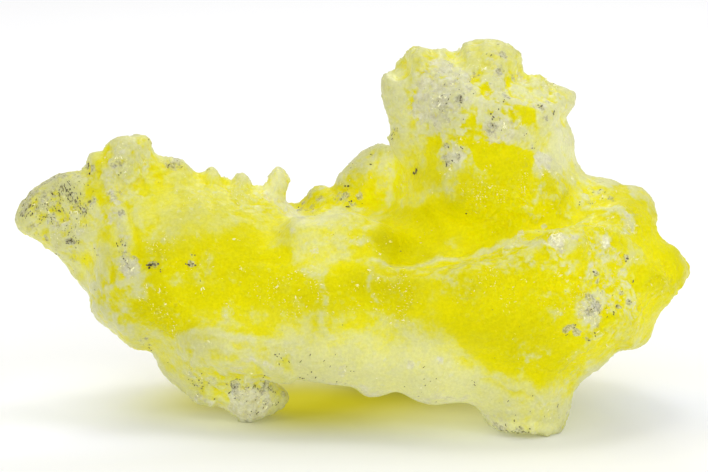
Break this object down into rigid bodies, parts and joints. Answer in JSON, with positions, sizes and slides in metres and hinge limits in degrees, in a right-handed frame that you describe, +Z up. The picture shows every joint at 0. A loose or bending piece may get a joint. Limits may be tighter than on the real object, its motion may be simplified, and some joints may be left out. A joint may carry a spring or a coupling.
{
  "type": "brucite specimen",
  "caption": "Hand specimen of waxy yellow brucite, lying on its low feet, with a wedge at one side and a knobbly tower over a smooth bowl.",
  "frame": {"origin": "on the resting surface, under the middle of the specimen's box", "axes": "+X from the left wedge's tip to the right tip, +Y from the front face to the back, +Z up"},
  "size_m": [0.1, 0.0438, 0.0548],
  "materials": {
    "brucite": "waxy, cloudy yellow crust with pale translucent edges, sugary sparkle and grey dusty patches"
  },
  "bodies": {
    "root": {"brucite": "brucite"}
  },
  "joints": []
}
